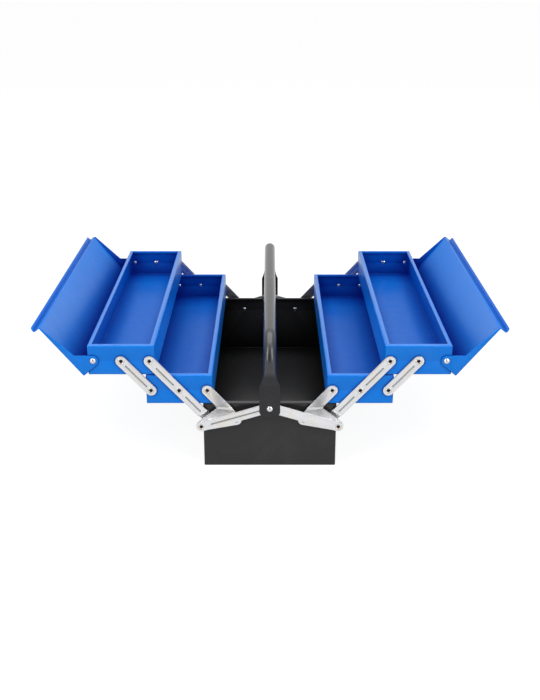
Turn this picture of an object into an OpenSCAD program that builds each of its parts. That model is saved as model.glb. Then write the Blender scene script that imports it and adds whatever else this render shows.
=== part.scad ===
// Cantilever tool box with five compartments, shown fully open. An open base carries two
// trays on each side. The trays swing out and in on pairs of parallel levers at both ends,
// and each upper tray carries a hinged lid. A full-length tube handle works the levers
// through links and bell cranks, so lifting or lowering it closes or opens both sides.
// Frame: X across the box, Y along it, +Z up, origin at the middle of the underside.

/* [Box] */
// Length of the base, between the outer faces of its end walls
box_length = 500; // [350:5:600]
// Width of the base
box_width = 200; // [170:2:260]
// Height of the base
base_height = 105; // [80:1:140]
// Thickness of the folded steel sheet
sheet = 1; // [0.8:0.1:1.6]
// Outer radius of the folds along the rims
rim_radius = 3; // [1.6:0.1:4]
// Outer radius of the folds along the floors
floor_radius = 2.2; // [1.2:0.1:3]
// Outer radius of the upright corners
corner_radius = 2.8; // [1.2:0.1:4]
// Width of the rim that is folded inward
rim_width = 6.5; // [4:0.5:10]
// Depth of the return edge on the inner side of the rim
rim_return = 3.6; // [2:0.2:6]

/* [Trays] */
// Height of a tray
tray_height = 46.2; // [36:0.2:64]
// Free space between the two closed sides, on each side of the middle
middle_gap = 0.9; // [0.5:0.1:3]
// How far the closed trays stay inside the width of the base, on each side
side_inset = 0.5; // [0:0.1:3]
// How far the end walls of the trays stand out past those of the base
tray_stand = 4; // [3:0.5:8]
// Gap under a tray where it rests on the rim below, box open
rest_gap = 0.3; // [0.2:0.1:1]
// Height of the lever pivots above the underside of a tray
pivot_rise = 22; // [16:0.5:30]

/* [Levers] */
// Half width of the levers, and the radius of their round ends
lever_radius = 8; // [6:0.5:9]
// Thickness of the levers and bell cranks
lever_thick = 2; // [1.5:0.1:3]
// How much further the levers lean when open than when closed
reach_extra = 0.8; // [0:0.1:4]
// Running gap between flat faces that slide past each other
face_gap = 0.3; // [0.2:0.05:0.5]
// Width of the pressed stiffening grooves
groove_width = 2.2; // [1.5:0.1:4]
// Depth of the pressed stiffening grooves
groove_depth = 0.9; // [0.3:0.1:1.2]
// Where the offset bend of a long lever begins, from its base pivot
joggle_start = 9.5; // [8:0.5:14]
// Length of the offset bend of a long lever
joggle_length = 6.5; // [5:0.5:9]

/* [Cranks and links] */
// How far the foot pivot of a crank lies outside the long lever's base pivot
foot_outside = 10.6; // [6:0.2:16]
// How far the foot pivot of a crank lies below its base pivot
foot_drop = 9.8; // [4:0.2:16]
// Distance of the inner corner of a crank's web from the base pivot, along the arm
web_along = 33.5; // [26:0.5:42]
// Distance of a crank's offset bend from its base pivot
crank_bend_at = 12.8; // [11:0.2:16]
// Length of a crank's offset bend
crank_bend_length = 4; // [3:0.2:6]
// Slant of a crank's offset bend
crank_bend_slant = 10; // [0:1:20]
// Half width of the links
link_radius = 7.5; // [6:0.5:8]
// Thickness of the links
link_thick = 1.8; // [1.5:0.1:2.5]
// Height of the handle pin above the cranks' base pivots, box open
pin_rise = 21.2; // [16:0.2:30]

/* [Handle] */
// Outer diameter of the handle tube
tube_d = 19; // [16:0.5:25]
// Wall of the handle tube
tube_wall = 1.3; // [1:0.1:2]
// Radius of the tube's bends, on its centre line
bend_radius = 35; // [25:1:50]
// Height of the tube's centre line above the handle pins
handle_height = 106; // [90:1:140]
// Width of the flattened ends of the tube
tab_width = 31; // [24:1:34]
// Length of the flattened end below the pin
tab_below = 12; // [9:0.5:16]
// Length of the flattened end above the pin
tab_above = 37; // [25:1:50]
// Length over which the tube widens into its flattened end
neck_length = 31; // [20:1:40]
// Corner radius of the flattened ends
tab_corner = 7; // [3:0.5:12]

/* [Lids] */
// Distance of a lid's upright lip from the middle of the box, box closed
lip_from_middle = 4.4; // [2:0.2:8]
// Depth of the flange along a lid's hinge side
lid_flange = 8.2; // [6:0.2:12]
// Height of the upright lip on the left lid's free edge
lid_lip = 9.6; // [6:0.2:16]
// Gap between the two lids' closing strips where the right one laps over the left
lap_gap = 0.3; // [0.1:0.1:1]
// Radius of a lid's ears round the hinge rivets
ear_radius = 8.5; // [7:0.5:10]
// Depth of a lid's end flanges at the free edge
flange_tip = 2.4; // [1.6:0.2:5]
// Gap between a lid's flange and the tray wall that stops it, lid open
stop_gap = 0.25; // [0.1:0.05:1]

/* [Rivets] */
// Radius of the rivet shanks
shank_radius = 3; // [2:0.1:3.5]
// Radius of the shouldered rivets' tenons, where they go through the sheet of a wall
tenon_radius = 1.8; // [1.2:0.1:1.9]
// Radial running clearance of a lever on its rivet
running = 0.08; // [0.03:0.01:0.1]
// Radius of the rolled flange of a rivet
flange_radius = 5; // [4:0.1:5.5]
// Thickness of the rolled flange of a rivet
flange_thick = 0.75; // [0.5:0.05:1.2]
// Radius of the hole in a tubular rivet
hollow_radius = 2.3; // [1.5:0.1:2.6]
// Depth of that hole below the rivet's flange
hollow_depth = 1.6; // [1:0.1:1.8]
// Radius of the low heads inside the boxes
head_radius = 4.2; // [3.6:0.1:6]
// Height of the low heads inside the boxes
head_height = 1.2; // [0.8:0.1:3]
// Radius of the domed heads on the hinges and handle pins
dome_radius = 4.4; // [3.5:0.1:6]
// Height of the domed heads on the hinges and handle pins
dome_height = 2; // [1:0.1:3]

/* [Hidden] */
$fn = 48;
seat = 0.05;
// Straight sides stay this much inside the round ends, so that the two cross cleanly.
trim = 0.01;
// Upright corners stand this much out past the walls that they cut, for the same reason.
corner_cross = 0.05;
half_length = box_length / 2;
tray_width = box_width / 2 - middle_gap - side_inset;
closed_middle = middle_gap + tray_width / 2;
// Pivot spacing: the long levers' upper ends just pass each other at the middle.
spacing = closed_middle - lever_radius - 0.6;
reach = spacing + reach_extra;
rise = tray_height + rest_gap;
pitch = norm([reach, rise]);
lever_angle = atan2(rise, reach);
pivot_z = base_height + rest_gap + pivot_rise - rise;
tray_length = box_length + 2 * tray_stand;

// Pivot points of the right side in the X-Z plane, box open
step = [reach, rise];
lever_foot = [closed_middle + spacing, pivot_z];
crank_foot = [closed_middle, pivot_z];
lever_mid = lever_foot + step;
lever_top = lever_mid + step;
crank_top = crank_foot + step;
short_foot = lever_mid + [spacing, 0];
short_top = short_foot + step;
lid_hinge = short_top + [spacing, 0];
link_foot = crank_foot + [spacing + foot_outside, -foot_drop];
handle_pin = [0, pivot_z + pin_rise];
lower_tray_at = [lever_mid[0], lever_mid[1] - pivot_rise];
upper_tray_at = [short_top[0], short_top[1] - pivot_rise];

// Layers, as distances out from the end wall of the base
low_in = face_gap;
low_out = low_in + lever_thick;
arm_in = tray_stand + face_gap;
arm_out = arm_in + lever_thick;
crank_in = arm_out + seat + flange_thick + face_gap;
crank_out = crank_in + lever_thick;
link_in = crank_out + seat + flange_thick + face_gap;
link_out = link_in + link_thick;
link_step = link_thick + 0.2;
tab_in = link_out + link_step + 0.2;
tab_thick = 2 * tube_wall;
tab_out = tab_in + tab_thick;
tube_at = (tab_in + tab_out) / 2;

// Lid, in a frame at its hinge with the lid closed
lid_in = tray_stand + face_gap;
lid_out = lid_in + sheet;
lid_wall = tray_width / 2 - spacing;
// Furthest that a tray's folded edge reaches from the hinge, which the lid turns over
rim_reach = rim_radius
    + norm([lid_wall - rim_radius, tray_height - pivot_rise - rim_radius]);
lid_top = max(rim_reach, tray_height - pivot_rise) + 0.2 + sheet;
flange_at = lid_wall + 0.35;
flange_end = lid_top - lid_flange;
lid_open = 180 - asin((lid_wall + stop_gap) / norm([flange_at + sheet, flange_end]))
    - atan2(flange_at + sheet, flange_end);
lid_bend = 1.6;
lip_bend = 2.6;
lid_reach = closed_middle + spacing - lip_from_middle;
// Width of a lid's closing strip, which ends where the other lid's fold begins
strip_width = 2 * lip_from_middle - (lip_bend - sheet);

blue = [0.02, 0.42, 0.88];
anthracite = [0.2, 0.2, 0.22];
black = [0.12, 0.12, 0.13];
zinc = [0.82, 0.84, 0.86];
steel = [0.7, 0.71, 0.73];

// ---- frames and profiles ----

// Puts shapes drawn as (x, z, distance out from the base's end wall) at the front end.
module front() {
    translate([0, -half_length, 0])
        rotate([90, 0, 0])
            children();
}

module rear() {
    mirror([0, 1, 0])
        front()
            children();
}

module both_ends() {
    front()
        children();
    rear()
        children();
}

module left() {
    mirror([1, 0, 0])
        children();
}

// Flat strip with round ends between two points
module strip(p, q, r) {
    for (c = [p, q])
        translate(c)
            circle(r);
    translate(p)
        rotate(atan2(q[1] - p[1], q[0] - p[0]))
            translate([0, -r + trim])
                square([norm(q - p), 2 * (r - trim)]);
}

// Sheet that follows a side profile of (along, out) points, cut across its width
module bent_sheet(points, width) {
    rotate([90, 0, 0])
        translate([0, 0, -width / 2])
            linear_extrude(width)
                polygon(points);
}

module groove(p, q, face) {
    translate([0, 0, face - groove_depth])
        linear_extrude(groove_depth + 1)
            strip(p, q, groove_width / 2);
}

module bore(p, r) {
    translate([p[0], p[1], -5])
        cylinder(h = 40, r = r);
}

// ---- folded boxes: the base and the trays ----

module rounded_profile(w, h, r_top, r_low) {
    translate([-w / 2, r_low])
        square([w, h - r_low - r_top]);
    translate([-w / 2 + r_top, h / 2])
        square([w - 2 * r_top, h / 2]);
    translate([-w / 2 + r_low, 0])
        square([w - 2 * r_low, h / 2]);
    for (s = [-1, 1]) {
        translate([s * (w / 2 - r_top), h - r_top])
            circle(r_top);
        translate([s * (w / 2 - r_low), r_low])
            circle(r_low);
    }
}

// Plan of a box with round corners: its straight sides lie outside those of the box
module corner_plan(w, l, r) {
    c = r - corner_cross;
    square([w + 2, l - 2 * c], center = true);
    square([w - 2 * c, l + 2], center = true);
    for (x = [-1, 1])
        for (y = [-1, 1])
            translate([x * (w / 2 - c), y * (l / 2 - c)])
                circle(r);
}

module folded_block(w, l, h, r_top, r_low, r_side) {
    intersection() {
        translate([0, l / 2, 0])
            rotate([90, 0, 0])
                linear_extrude(l)
                    rounded_profile(w, h, r_top, r_low);
        rotate([90, 0, 90])
            translate([0, 0, -w / 2])
                linear_extrude(w)
                    rounded_profile(l, h, r_top, r_low);
        translate([0, 0, -1])
            linear_extrude(h + 2)
                corner_plan(w, l, r_side);
    }
}

module centred_block(w, l, z0, z1) {
    translate([-w / 2, -l / 2, z0])
        cube([w, l, z1 - z0]);
}

// Open sheet box with a floor, four walls and an inward rim with a return edge
module folded_box(w, l, h) {
    difference() {
        folded_block(w, l, h, rim_radius, floor_radius, corner_radius);
        translate([0, 0, sheet])
            folded_block(w - 2 * sheet, l - 2 * sheet, h - 2 * sheet,
                rim_radius - sheet, floor_radius - sheet, corner_radius - sheet);
        centred_block(w - 2 * rim_width, l - 2 * rim_width, h / 2, h + 1);
    }
    difference() {
        centred_block(w - 2 * rim_width + 2 * sheet, l - 2 * rim_width + 2 * sheet,
            h - rim_return, h - sheet / 2);
        centred_block(w - 2 * rim_width, l - 2 * rim_width, h / 2, h + 1);
    }
}

module base_box() {
    color(anthracite)
        difference() {
            folded_box(box_width, box_length, base_height);
            for (s = [-1, 1])
                both_ends() {
                    bore([s * lever_foot[0], lever_foot[1]], tenon_radius + 0.02);
                    bore([s * crank_foot[0], crank_foot[1]], tenon_radius + 0.02);
                }
        }
}

module tray(at, pivots) {
    color(blue)
        difference() {
            translate([at[0], 0, at[1]])
                folded_box(tray_width, tray_length, tray_height);
            both_ends()
                for (p = pivots)
                    bore(p, tenon_radius + 0.02);
        }
}

module lower_tray() {
    tray(lower_tray_at, [lever_mid, crank_top, short_foot]);
}

module upper_tray() {
    tray(upper_tray_at, [lever_top, short_top, lid_hinge]);
}

// ---- levers, cranks and links ----

// Long lever: flat on the trays' end walls, offset inward at its base pivot
module long_lever() {
    j0 = joggle_start;
    j1 = joggle_start + joggle_length;
    k = lever_thick * tan(atan2(arm_in - low_in, joggle_length) / 2);
    far = 2 * pitch + lever_radius + 1;
    color(zinc)
        translate([lever_foot[0], lever_foot[1], 0])
            rotate([0, 0, lever_angle])
                difference() {
                    intersection() {
                        linear_extrude(arm_out + 1)
                            strip([0, 0], [2 * pitch, 0], lever_radius);
                        bent_sheet([[-far, low_in], [j0, low_in], [j1, arm_in], [far, arm_in],
                            [far, arm_out], [j1 - k, arm_out], [j0 - k, low_out],
                            [-far, low_out]], 40);
                    }
                    for (i = [0 : 2])
                        bore([i * pitch, 0], shank_radius + running);
                    groove([j1 + 2, 0], [pitch - 14.5, 0], arm_out);
                    groove([pitch + 13, 0], [2 * pitch - 15.5, 0], arm_out);
                }
}

// Short lever: links the lower tray's outer pivot to the upper tray's middle pivot
module short_lever() {
    color(zinc)
        translate([short_foot[0], short_foot[1], 0])
            rotate([0, 0, lever_angle])
                difference() {
                    translate([0, 0, arm_in])
                        linear_extrude(lever_thick)
                            strip([0, 0], [pitch, 0], lever_radius);
                    bore([0, 0], shank_radius + running);
                    bore([pitch, 0], shank_radius + running);
                    groove([9.5, 0], [pitch - 10.5, 0], arm_out);
                }
}

// Outline of a bell crank round its base pivot: an arm, a foot and a web between them
module crank_outline() {
    r = lever_radius;
    unit = step / pitch;
    edge = r - 2 * trim;
    corner = web_along * unit + edge * [unit[1], -unit[0]];
    foot = link_foot - crank_foot;
    gap = norm(foot - corner);
    turn = atan2(foot[1] - corner[1], foot[0] - corner[0]) + asin(edge / gap);
    touch = corner + sqrt(gap * gap - edge * edge) * [cos(turn), sin(turn)];
    strip([0, 0], step, r);
    strip([0, 0], foot, r);
    polygon([[0, 0], foot, touch, corner]);
}

// Bell crank: its arm lies on the lower tray's end wall, its foot stands further out
module crank() {
    u0 = crank_bend_at;
    u1 = crank_bend_at + crank_bend_length;
    k = lever_thick * tan(atan2(crank_in - arm_in, crank_bend_length) / 2);
    far = 2 * pitch;
    foot = link_foot - crank_foot;
    color(zinc)
        translate([crank_foot[0], crank_foot[1], 0])
            difference() {
                intersection() {
                    linear_extrude(crank_out + 1)
                        crank_outline();
                    rotate([0, 0, 90 + crank_bend_slant])
                        bent_sheet([[-far, crank_in], [u0, crank_in], [u1, arm_in],
                            [far, arm_in], [far, arm_out], [u1 + k, arm_out],
                            [u0 + k, crank_out], [-far, crank_out]], 4 * pitch);
                }
                bore([0, 0], shank_radius + running);
                bore(step, shank_radius + running);
                bore(foot, shank_radius + 0.02);
                translate([foot[0], foot[1], crank_in - seat])
                    cylinder(h = 1.3 + seat, r1 = shank_radius + 1.37, r2 = shank_radius + 0.02);
            }
}

// Link from a crank's foot to the handle. The right one steps over the left at the pin.
module link(stepped) {
    run = handle_pin - link_foot;
    l = norm(run);
    lift = stepped ? link_step : 0;
    j0 = l - 14.5;
    j1 = l - 9.8;
    k = link_thick * tan(atan2(link_step, j1 - j0) / 2);
    far = l + link_radius + 1;
    color(zinc)
        translate([link_foot[0], link_foot[1], 0])
            rotate([0, 0, atan2(run[1], run[0])])
                difference() {
                    intersection() {
                        linear_extrude(tab_in)
                            strip([0, 0], [l, 0], link_radius);
                        if (stepped)
                            bent_sheet([[-far, link_in], [j0, link_in], [j1, link_in + lift],
                                [far, link_in + lift], [far, link_out + lift],
                                [j1 - k, link_out + lift], [j0 - k, link_out],
                                [-far, link_out]], 40);
                        else
                            bent_sheet([[-far, link_in], [far, link_in], [far, link_out],
                                [-far, link_out]], 40);
                    }
                    bore([0, 0], shank_radius + running);
                    bore([l, 0], shank_radius + (stepped ? 0.3 : 0.02));
                    if (stepped)
                        translate([0, 0, link_in - 1])
                            linear_extrude(1 + groove_depth)
                                strip([16.5, 0], [l - 21, 0], groove_width / 2);
                    else
                        groove([16.5, 0], [l - 16.5, 0], link_out);
                }
}

// ---- rivets ----

module dome(r, h) {
    curve = (r * r + h * h) / (2 * h);
    intersection() {
        translate([0, h - curve])
            circle(curve);
        square([r, h]);
    }
}

// Inner part of a shouldered rivet: a low head, a tenon through the sheet and the shank,
// whose shoulder stands on the wall and keeps the lever free
module shouldered_shank(head_at, end) {
    shoulder_at = head_at + sheet + seat;
    translate([0, head_at])
        mirror([0, 1])
            dome(head_radius, head_height);
    translate([0, head_at - 0.01])
        square([tenon_radius, sheet + seat + 0.02]);
    translate([0, shoulder_at])
        square([shank_radius, end - shoulder_at + 0.01]);
}

// Tubular rivet: its outer end is hollow and rolled over into a flange
module tubular_rivet(p, head_at, flange_at) {
    translate([p[0], p[1], 0])
        rotate_extrude()
            difference() {
                union() {
                    shouldered_shank(head_at, flange_at);
                    translate([0, flange_at])
                        square([flange_radius - 0.3, flange_thick]);
                    translate([0, flange_at])
                        square([flange_radius, flange_thick - 0.3]);
                }
                translate([0, flange_at - hollow_depth])
                    square([hollow_radius, 4]);
            }
}

module domed_rivet(p, head_at, dome_at) {
    translate([p[0], p[1], 0])
        rotate_extrude() {
            shouldered_shank(head_at, dome_at);
            translate([0, dome_at])
                dome(dome_radius, dome_height);
        }
}

module ring(p, r_in, r_out, d0, d1) {
    translate([p[0], p[1], d0])
        difference() {
            cylinder(h = d1 - d0, r = r_out);
            translate([0, 0, -1])
                cylinder(h = d1 - d0 + 2, r = r_in);
        }
}

module base_rivets() {
    color(steel)
        for (s = [-1, 1])
            both_ends() {
                tubular_rivet([s * lever_foot[0], lever_foot[1]], -sheet, low_out + seat);
                tubular_rivet([s * crank_foot[0], crank_foot[1]], -sheet, crank_out + seat);
            }
}

module crank_spacers() {
    color(steel)
        for (s = [-1, 1])
            both_ends()
                ring([s * crank_foot[0], crank_foot[1]], shank_radius + seat, 6,
                    0, crank_in - 0.2);
}

module lower_rivets() {
    color(steel)
        both_ends()
            for (p = [lever_mid, crank_top, short_foot])
                tubular_rivet(p, tray_stand - sheet, arm_out + seat);
}

module upper_rivets() {
    color(steel)
        both_ends()
            for (p = [lever_top, short_top])
                tubular_rivet(p, tray_stand - sheet, arm_out + seat);
}

module lid_rivets() {
    color(steel)
        both_ends()
            domed_rivet(lid_hinge, tray_stand - sheet, lid_out + seat);
}

// Countersunk behind the crank's foot, where the long lever passes, open in front
module link_rivets() {
    color(steel)
        both_ends()
            translate([link_foot[0], link_foot[1], 0])
                rotate_extrude()
                    difference() {
                        union() {
                            polygon([[0, crank_in], [shank_radius + 1.3, crank_in],
                                [shank_radius, crank_in + 1.3], [shank_radius, link_out + seat],
                                [0, link_out + seat]]);
                            translate([0, link_out + seat])
                                square([flange_radius, flange_thick]);
                        }
                        translate([0, link_out - 2])
                            square([hollow_radius, 4]);
                    }
}

module link_washers() {
    color(steel)
        both_ends()
            ring(link_foot, shank_radius + running, 6.2, crank_out + 0.2, link_in);
}

// Upset tails behind the left links, where the handle pins end
module link_tails() {
    color(steel)
        both_ends()
            translate([handle_pin[0], handle_pin[1], 0])
                rotate_extrude() {
                    translate([0, link_in - 0.8])
                        square([flange_radius, 0.8]);
                    translate([0, link_in - 0.01])
                        square([shank_radius, link_thick + 0.01]);
                }
}

// ---- handle ----

module tube_run(r) {
    leg_top = handle_pin[1] + handle_height - bend_radius;
    leg_foot = handle_pin[1] + tab_above + neck_length;
    leg_y = half_length + tube_at;
    for (m = [0, 1])
        mirror([0, m, 0]) {
            translate([0, -leg_y, leg_foot])
                cylinder(h = leg_top - leg_foot, r = r);
            translate([0, -leg_y + bend_radius, leg_top])
                rotate([90, 0, -90])
                    rotate_extrude(angle = 90)
                        translate([bend_radius, 0])
                            circle(r);
        }
    translate([0, leg_y - bend_radius, handle_pin[1] + handle_height])
        rotate([90, 0, 0])
            cylinder(h = 2 * (leg_y - bend_radius), r = r);
}

// Flattened end of the tube, with half-round edges and rounded lower corners
module tab() {
    low = handle_pin[1] - tab_below;
    top = handle_pin[1] + tab_above;
    w = tab_width / 2;
    difference() {
        intersection() {
            translate([0, low, tube_at])
                rotate([-90, 0, 0])
                    linear_extrude(top - low + 0.5) {
                        square([tab_width - tab_thick, tab_thick], center = true);
                        for (s = [-1, 1])
                            translate([s * (w - tab_thick / 2), 0])
                                circle(tab_thick / 2);
                    }
            translate([0, 0, tab_in - 1])
                linear_extrude(tab_thick + 2) {
                    translate([-w, low + tab_corner])
                        square([tab_width, top - low]);
                    translate([-w + tab_corner, low])
                        square([tab_width - 2 * tab_corner, tab_corner + 1]);
                    for (s = [-1, 1])
                        translate([s * (w - tab_corner), low + tab_corner])
                            circle(tab_corner);
                }
        }
        bore(handle_pin, shank_radius + 0.02);
    }
}

// Where the round tube spreads into its flat end: quickly at first, then through an oval
module neck() {
    low = handle_pin[1] + tab_above;
    hull() {
        neck_slice(low)
            square([tab_width, tab_thick * 0.9], center = true);
        neck_slice(low + neck_length / 2)
            neck_oval();
    }
    hull() {
        neck_slice(low + neck_length / 2)
            neck_oval();
        neck_slice(low + neck_length)
            circle(tube_d / 2, $fn = 36);
    }
}

module neck_slice(z) {
    translate([0, z, tube_at])
        rotate([-90, 0, 0])
            linear_extrude(0.5)
                children();
}

module neck_oval() {
    scale([1.09, 0.66])
        circle(tube_d / 2, $fn = 36);
}

module handle() {
    color(black) {
        difference() {
            tube_run(tube_d / 2);
            tube_run(tube_d / 2 - tube_wall);
        }
        both_ends() {
            tab();
            neck();
        }
    }
}

module handle_pins() {
    color(steel)
        both_ends()
            translate([handle_pin[0], handle_pin[1], 0])
                rotate_extrude() {
                    translate([0, tab_in])
                        square([shank_radius, tab_thick + 0.01]);
                    translate([0, tab_out])
                        dome(dome_radius, dome_height);
                }
}

// ---- lids ----

function turned(p, a) = [p[0] * cos(a) - p[1] * sin(a), p[0] * sin(a) + p[1] * cos(a)];

module quarter_fold(at, turn, r) {
    translate(at)
        rotate(turn)
            intersection() {
                difference() {
                    circle(r);
                    circle(r - sheet);
                }
                square(r);
            }
}

// Section of a lid: hinge-side flange, panel, the upright lip at the free edge and the
// closing strip that reaches over the middle from the lip's top
module lid_section(lip) {
    out = flange_at + sheet;
    crest = lid_top + lip;
    turn_at = -lid_reach + sheet - lip_bend;
    translate([flange_at, flange_end])
        square([sheet, lid_top - lid_bend - flange_end]);
    quarter_fold([out - lid_bend, lid_top - lid_bend], 0, lid_bend);
    translate([-lid_reach + lid_bend, lid_top - sheet])
        square([lid_reach + out - 2 * lid_bend, sheet]);
    quarter_fold([-lid_reach + lid_bend, lid_top - sheet + lid_bend], 180, lid_bend);
    translate([-lid_reach, lid_top - sheet + lid_bend])
        square([sheet, lip + sheet - lid_bend - lip_bend]);
    quarter_fold([turn_at, crest - lip_bend], 0, lip_bend);
    translate([-lid_reach - strip_width, crest - sheet])
        square([strip_width + turn_at + lid_reach, sheet]);
}

// End flange of a lid: it tapers to the free edge and reaches down to the hinge rivet
module lid_ear() {
    side = ear_radius - trim;
    edge = turned([0, side], lid_open);
    root = turned([27, side], lid_open);
    circle(ear_radius);
    polygon([[-lid_reach + lid_bend, lid_top - 0.4],
        [-lid_reach + lid_bend, lid_top - flange_tip], root, edge, [0, 0],
        [side, 0], [side, flange_end - 2], [flange_at + sheet, flange_end],
        [flange_at + sheet, lid_top - lid_bend], [flange_at + sheet - lid_bend, lid_top - 0.4]]);
}

// The right lid's lip stands higher, so that its strip laps over the left one's.
module lid(laps) {
    lip = lid_lip + (laps ? sheet + lap_gap : 0);
    color(blue)
        front()
            translate([lid_hinge[0], lid_hinge[1], 0])
                rotate([0, 0, -lid_open]) {
                    translate([0, 0, -box_length - lid_out])
                        linear_extrude(box_length + 2 * lid_out)
                            lid_section(lip);
                    for (d = [lid_in, -box_length - lid_out])
                        translate([0, 0, d])
                            linear_extrude(sheet)
                                difference() {
                                    lid_ear();
                                    circle(shank_radius + running);
                                }
                }
}

// ---- assembly ----

base_box();
base_rivets();
crank_spacers();
handle();
handle_pins();
left() front() long_lever();  // long_lever_left_front
left() rear() long_lever();  // long_lever_left_rear
front() long_lever();  // long_lever_right_front
rear() long_lever();  // long_lever_right_rear
left() front() crank();  // crank_left_front
left() rear() crank();  // crank_left_rear
front() crank();  // crank_right_front
rear() crank();  // crank_right_rear
left() front() link(false);  // link_left_front
left() rear() link(false);  // link_left_rear
front() link(true);  // link_right_front
rear() link(true);  // link_right_rear
left() front() short_lever();  // short_lever_left_front
left() rear() short_lever();  // short_lever_left_rear
front() short_lever();  // short_lever_right_front
rear() short_lever();  // short_lever_right_rear
left() lower_tray();  // lower_tray_left
lower_tray();  // lower_tray_right
left() upper_tray();  // upper_tray_left
upper_tray();  // upper_tray_right
left() lower_rivets();  // lower_rivets_left
lower_rivets();  // lower_rivets_right
left() upper_rivets();  // upper_rivets_left
upper_rivets();  // upper_rivets_right
left() lid_rivets();  // lid_rivets_left
lid_rivets();  // lid_rivets_right
left() lid(false);  // lid_left
lid(true);  // lid_right
left() link_rivets();  // link_rivets_left
link_rivets();  // link_rivets_right
left() link_washers();  // link_washers_left
link_washers();  // link_washers_right
link_tails();
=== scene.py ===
"""Looks of a five-compartment cantilever tool box, shown open and seen from its end.

The folded sheet parts, levers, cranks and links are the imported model's own solids, copied,
merged and given soft edges. The handle and the rivets are built by geometry nodes. Every
finish is procedural and reads Object coordinates. Lengths are in metres.
"""

import logging
import math
from dataclasses import dataclass, field
from enum import Enum
from typing import Callable, Iterable, Sequence

import bmesh
import bpy
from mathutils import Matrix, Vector


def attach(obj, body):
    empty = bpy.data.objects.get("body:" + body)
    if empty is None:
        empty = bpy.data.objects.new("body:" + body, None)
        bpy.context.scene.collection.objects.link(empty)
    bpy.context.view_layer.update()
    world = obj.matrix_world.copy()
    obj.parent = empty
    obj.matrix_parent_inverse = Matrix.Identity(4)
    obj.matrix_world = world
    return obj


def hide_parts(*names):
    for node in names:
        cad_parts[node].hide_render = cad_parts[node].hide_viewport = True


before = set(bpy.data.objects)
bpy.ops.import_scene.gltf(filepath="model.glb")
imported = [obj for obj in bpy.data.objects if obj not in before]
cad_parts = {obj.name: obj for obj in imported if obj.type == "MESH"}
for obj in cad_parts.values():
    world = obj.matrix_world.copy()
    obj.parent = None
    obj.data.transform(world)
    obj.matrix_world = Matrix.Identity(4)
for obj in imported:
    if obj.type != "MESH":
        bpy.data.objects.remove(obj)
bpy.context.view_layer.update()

log = logging.getLogger("tool_box")

Colour = tuple[float, float, float]
Place = tuple[float, float, float]
Point = tuple[float, float]
Socket = bpy.types.NodeSocket
MM = 0.001


class Named(Enum):
    """A choice that the bodies and nodes spell in small letters."""

    @property
    def word(self) -> str:
        """The choice's name as they spell it."""
        return self.name.lower()


class Side(Named):
    """The two sides that fold out, by the sign of X."""

    LEFT = -1
    RIGHT = 1


class End(Named):
    """The two ends of the box, by the sign of Y."""

    FRONT = -1
    REAR = 1


class Slot(Enum):
    """The record's material slots."""

    BASE = "base_paint"
    BLUE = "blue_paint"
    HANDLE = "handle_paint"
    ZINC = "zinc"
    RIVET = "rivet_steel"


# ---- node trees ----


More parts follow.
